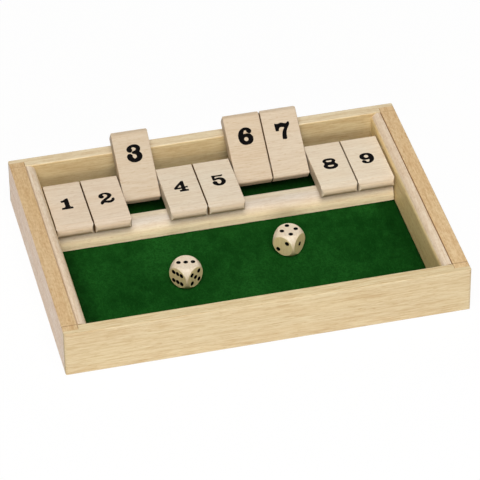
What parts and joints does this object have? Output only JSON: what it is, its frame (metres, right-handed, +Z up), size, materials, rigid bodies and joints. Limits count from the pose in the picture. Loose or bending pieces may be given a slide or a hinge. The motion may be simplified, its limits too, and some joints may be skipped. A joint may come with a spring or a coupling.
{
  "type": "shut the box game",
  "caption": "Wooden shut the box game: a felt-lined tray with numbered tiles hinged on a hidden steel rod, a cross bar they close onto, and loose ball-cornered dice.",
  "frame": {"origin": "middle of the tray's underside", "axes": "+X along the row of tiles from 1 to 9, +Y from the open tray towards the rail behind the tiles, +Z up"},
  "size_m": [0.22, 0.156, 0.0373],
  "materials": {
    "rail_beech": "clear satin lacquer, grain along the rail",
    "board_beech": "clear satin lacquer, grain from front to back",
    "liner_beech": "clear satin lacquer",
    "tile_wood": "pale clear satin lacquer, black numerals printed in ink",
    "die_wood": "smooth satin, pips filled with black ink",
    "base_plywood": "bare sanded",
    "green_felt": "deep green pressed felt, matt",
    "steel": "drawn bright rod"
  },
  "bodies": {
    "tray": {"front_rail": "rail_beech", "back_rail": "rail_beech", "left_side_board": "board_beech", "right_side_board": "board_beech", "left_liner": "liner_beech", "right_liner": "liner_beech", "base_panel": "base_plywood", "tray_felt": "green_felt", "rear_felt": "green_felt", "cross_bar": "liner_beech", "pivot_rod": "steel"},
    "tile_1": {"tile_1": "tile_wood"},
    "tile_2": {"tile_2": "tile_wood"},
    "tile_3": {"tile_3": "tile_wood"},
    "tile_4": {"tile_4": "tile_wood"},
    "tile_5": {"tile_5": "tile_wood"},
    "tile_6": {"tile_6": "tile_wood"},
    "tile_7": {"tile_7": "tile_wood"},
    "tile_8": {"tile_8": "tile_wood"},
    "tile_9": {"tile_9": "tile_wood"},
    "left_die": {"left_die": "die_wood"},
    "right_die": {"right_die": "die_wood"}
  },
  "joints": [
    {"name": "tile_1_hinge", "type": "hinge", "parent": "tray", "child": "tile_1", "pos_m": [-0.0846, 0.0498, 0.0175], "axis": [-1, 0, 0], "range_deg": [0, 146.43]},
    {"name": "tile_2_hinge", "type": "hinge", "parent": "tray", "child": "tile_2", "pos_m": [-0.06345, 0.0498, 0.0175], "axis": [-1, 0, 0], "range_deg": [0, 146.43]},
    {"name": "tile_3_hinge", "type": "hinge", "parent": "tray", "child": "tile_3", "pos_m": [-0.0423, 0.0498, 0.0175], "axis": [-1, 0, 0], "range_deg": [-146.43, 0]},
    {"name": "tile_4_hinge", "type": "hinge", "parent": "tray", "child": "tile_4", "pos_m": [-0.02115, 0.0498, 0.0175], "axis": [-1, 0, 0], "range_deg": [0, 146.43]},
    {"name": "tile_5_hinge", "type": "hinge", "parent": "tray", "child": "tile_5", "pos_m": [0, 0.0498, 0.0175], "axis": [-1, 0, 0], "range_deg": [0, 146.43]},
    {"name": "tile_6_hinge", "type": "hinge", "parent": "tray", "child": "tile_6", "pos_m": [0.02115, 0.0498, 0.0175], "axis": [-1, 0, 0], "range_deg": [-146.43, 0]},
    {"name": "tile_7_hinge", "type": "hinge", "parent": "tray", "child": "tile_7", "pos_m": [0.0423, 0.0498, 0.0175], "axis": [-1, 0, 0], "range_deg": [-146.43, 0]},
    {"name": "tile_8_hinge", "type": "hinge", "parent": "tray", "child": "tile_8", "pos_m": [0.06345, 0.0498, 0.0175], "axis": [-1, 0, 0], "range_deg": [0, 146.43]},
    {"name": "tile_9_hinge", "type": "hinge", "parent": "tray", "child": "tile_9", "pos_m": [0.0846, 0.0498, 0.0175], "axis": [-1, 0, 0], "range_deg": [0, 146.43]},
    {"name": "left_die_lift", "type": "slide", "parent": "tray", "child": "left_die", "axis": [0, 0, 1], "range_m": [0, 0.06]},
    {"name": "right_die_lift", "type": "slide", "parent": "tray", "child": "right_die", "axis": [0, 0, 1], "range_m": [0, 0.06]}
  ]
}
